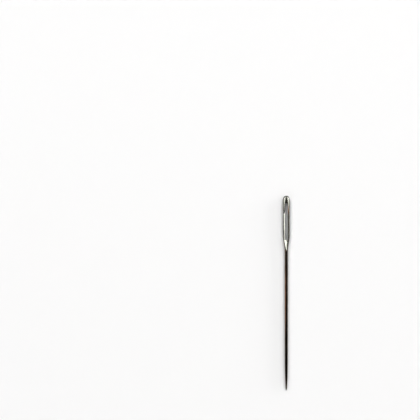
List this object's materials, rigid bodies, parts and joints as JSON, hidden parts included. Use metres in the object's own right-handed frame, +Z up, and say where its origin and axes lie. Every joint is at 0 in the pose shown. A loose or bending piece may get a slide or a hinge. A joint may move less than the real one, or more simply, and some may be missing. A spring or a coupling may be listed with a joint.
{
  "type": "sewing needle",
  "caption": "Long plated-steel sashiko sewing needle with a flattened head, an extra-large guttered eye, a smooth shoulder and a ground point.",
  "frame": {"origin": "middle of the needle's footprint, on the surface that it lies on", "axes": "+Y along the needle towards the crown, +Z up through the eye, +X to the right of the head"},
  "size_m": [0.0022, 0.06, 0.0012],
  "materials": {
    "plated_steel": "polished"
  },
  "bodies": {
    "root": {"crown": "plated_steel", "left_cheek": "plated_steel", "right_cheek": "plated_steel", "shoulder": "plated_steel", "shaft": "plated_steel"}
  },
  "joints": []
}
